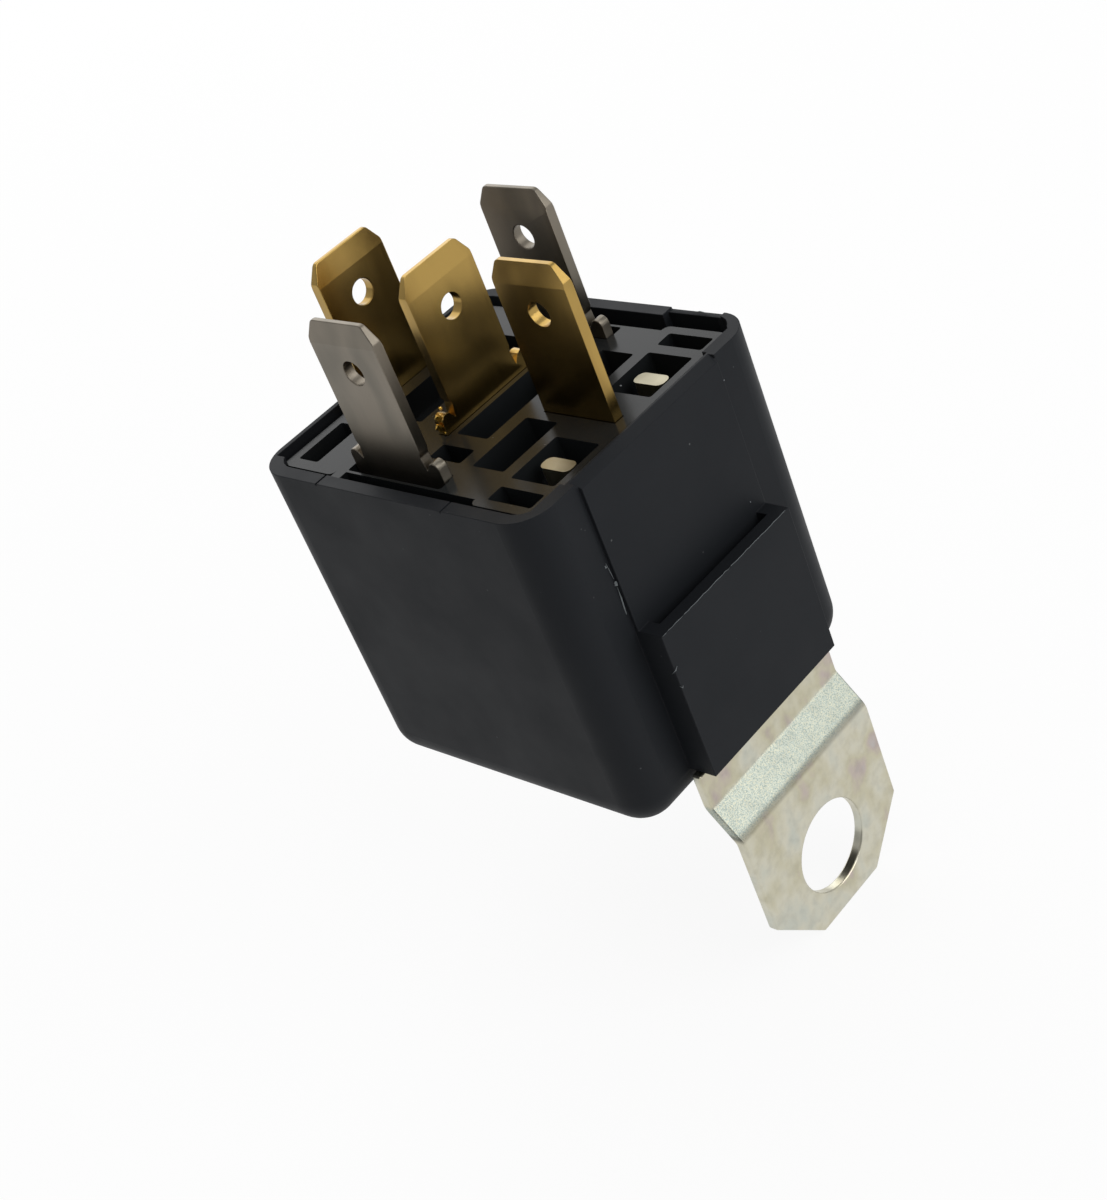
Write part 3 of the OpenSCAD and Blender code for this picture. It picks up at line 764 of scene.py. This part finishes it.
@dataclass
class Softbox:
    """A soft rectangular lamp."""

    name: str
    place: Point
    aim: Point
    size: Tuple[float, float]
    watts: float

    def build(self) -> None:
        """Adds the lamp."""
        data = bpy.data.lights.new(self.name, "AREA")
        data.shape = "RECTANGLE"
        data.size, data.size_y = self.size
        data.energy = self.watts
        lamp = bpy.data.objects.new(self.name, data)
        lamp.location = self.place
        way = Vector(self.aim) - Vector(self.place)
        lamp.rotation_euler = way.to_track_quat("-Z", "Y").to_euler()
        bpy.context.scene.collection.objects.link(lamp)
        LOG.info("lamp %s", self.name)


@dataclass
class Studio:
    """Floor, lamps, world and camera."""

    floor_z: float
    camera_place: Point = (0.10011468, -0.07317689, 0.06247011)
    camera_turn: Point = (55.03513539, 19.14861815, 41.43782196)
    lens_mm: float = 61.9
    sky_side: Point = (-0.50, 0.50, 0.71)
    sky_levels: Tuple[float, float] = (0.25, 0.8)
    floor_half: float = 3.0
    floor_grey: float = 0.8
    white_share: float = 0.9
    lamp_aim: Point = (0.002, 0.0, -0.012)

    def build(self) -> None:
        """Builds the whole studio."""
        self.floor()
        self.lamps()
        self.world()
        self.camera()

    def seen_white(self, tree: bpy.types.NodeTree) -> Any:
        """Adds the test for rays that meet the white background.

        Args:
            tree: The node tree.

        Returns:
            A socket that is 1 for camera, glossy and transmission rays.
        """
        path = add_node(tree, "LightPath")
        shiny = add_node(tree, "Math", {0: path.outputs["Is Camera Ray"],
                                        1: path.outputs["Is Glossy Ray"]}, operation="MAXIMUM")
        both = add_node(tree, "Math", {0: shiny.outputs["Value"],
                                       1: path.outputs["Is Transmission Ray"]}, operation="MAXIMUM")
        return both.outputs["Value"]

    def floor(self) -> None:
        """Adds a wide white floor that keeps the object's shadow."""
        bm = bmesh.new()
        bmesh.ops.create_grid(bm, x_segments=1, y_segments=1, size=self.floor_half,
                              matrix=Matrix.Translation((0, 0, self.floor_z)))
        obj = from_bmesh(bm, "studio_floor")
        material = bpy.data.materials.new("studio_floor_white")
        material.use_nodes = True
        tree = material.node_tree
        tree.nodes.clear()
        plain = add_node(tree, "BsdfDiffuse", None, {"Color": grey(self.floor_grey)})
        white = add_node(tree, "Emission", None, {"Color": grey(1.0), "Strength": 1.0})
        share = add_node(tree, "Math", {0: self.seen_white(tree)}, {1: self.white_share},
                         operation="MULTIPLY")
        mixed = add_node(tree, "MixShader", {"Fac": share.outputs["Value"],
                                             1: plain.outputs["BSDF"],
                                             2: white.outputs["Emission"]})
        add_node(tree, "OutputMaterial", {"Surface": mixed.outputs["Shader"]})
        obj.data.materials.append(material)
        obj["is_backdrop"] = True

    def lamps(self) -> None:
        """Adds the soft lamps."""
        for lamp in (
            Softbox("key_right", (0.42, 0.10, 0.22), self.lamp_aim, (0.45, 0.45), 1.5),
            Softbox("top_soft", (-0.26, 0.20, 0.24), self.lamp_aim, (0.45, 0.45), 0.8),
        ):
            lamp.build()

    def world(self) -> None:
        """Sets a soft grey surrounding, brighter above and behind."""
        world = bpy.data.worlds.new("studio")
        bpy.context.scene.world = world
        world.use_nodes = True
        tree = world.node_tree
        tree.nodes.clear()
        way = add_node(tree, "TexCoord")
        up = add_node(tree, "VectorMath", {0: way.outputs["Generated"]},
                      {1: self.sky_side}, operation="DOT_PRODUCT")
        soft = add_node(tree, "MapRange", {"Value": up.outputs["Value"]},
                        {"From Min": -0.6, "From Max": 0.95,
                         "To Min": self.sky_levels[0], "To Max": self.sky_levels[1]},
                        interpolation_type="SMOOTHSTEP")
        back = add_node(tree, "Background", {"Color": soft.outputs["Result"]}, {"Strength": 1.0})
        add_node(tree, "OutputWorld", {"Surface": back.outputs["Background"]})

    def camera(self) -> None:
        """Adds the camera and makes it the scene's own."""
        data = bpy.data.cameras.new("view")
        data.lens = self.lens_mm
        data.sensor_width = 36.0
        data.sensor_fit = "AUTO"
        data.clip_start = 0.005
        data.clip_end = 20.0
        cam = bpy.data.objects.new("view", data)
        cam.location = self.camera_place
        cam.rotation_euler = Euler([math.radians(a) for a in self.camera_turn], "XYZ")
        bpy.context.scene.collection.objects.link(cam)
        bpy.context.scene.camera = cam


def main() -> None:
    """Builds the dressed relay and its studio."""
    logging.basicConfig(level=logging.INFO, format="%(name)s %(message)s")
    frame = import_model()
    cad_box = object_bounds()
    nodes = frame["nodes"]
    scene = bpy.context.scene
    scene.view_settings.view_transform = "Standard"
    Studio(floor_z=cad_box[0][2]).build()
    paint = Paintbox()
    Housing("housing", paint, nodes, [
        Piece("cover", Slot.COVER, 0.10, 2, facet_mm=0.6),
        Piece("base", Slot.BASE, 0.06, 1, facet_mm=0.0)]).build()
    BladeSet("housing", paint, nodes, [
        Piece("terminal_86", Slot.TINNED, 0.07, 2),
        Piece("terminal_85", Slot.TINNED, 0.07, 2),
        Piece("terminal_30", Slot.BRASS, 0.07, 2),
        Piece("terminal_87", Slot.BRASS, 0.07, 2),
        Piece("terminal_87a", Slot.BRASS, 0.07, 2)]).build()
    MountingBracket("housing", paint, nodes, [
        Piece("bracket", Slot.ZINC, 0.16, 3)]).build()
    MagnetSystem("housing", paint, nodes, [
        Piece("yoke", Slot.IRON, 0.08, 2),
        Piece("bobbin", Slot.BOBBIN), Piece("winding", Slot.ENAMEL), Piece("core", Slot.IRON),
        Piece("contact_no", Slot.SILVER), Piece("contact_nc", Slot.SILVER),
        Piece("return_spring", Slot.SPRING, span_mm=((12.75, 0.0, -11.0), (12.75, 0.0, -18.0))),
        Piece("braid", Slot.BRAID, span_mm=((8.9, 8.3, -12.0), (7.0, 5.0, -22.7))),
        Piece("coil_leads", Slot.ENAMEL), Piece("resistor", Slot.RESISTOR),
        Piece("resistor_leads", Slot.WIRE)]).build()
    Clapper("armature", paint, nodes, [
        Piece("armature", Slot.IRON), Piece("contact_blade", Slot.LEAF),
        Piece("blade_rivets", Slot.RIVET), Piece("moving_contact", Slot.SILVER)]).build()


if __name__ == "__main__":
    main()
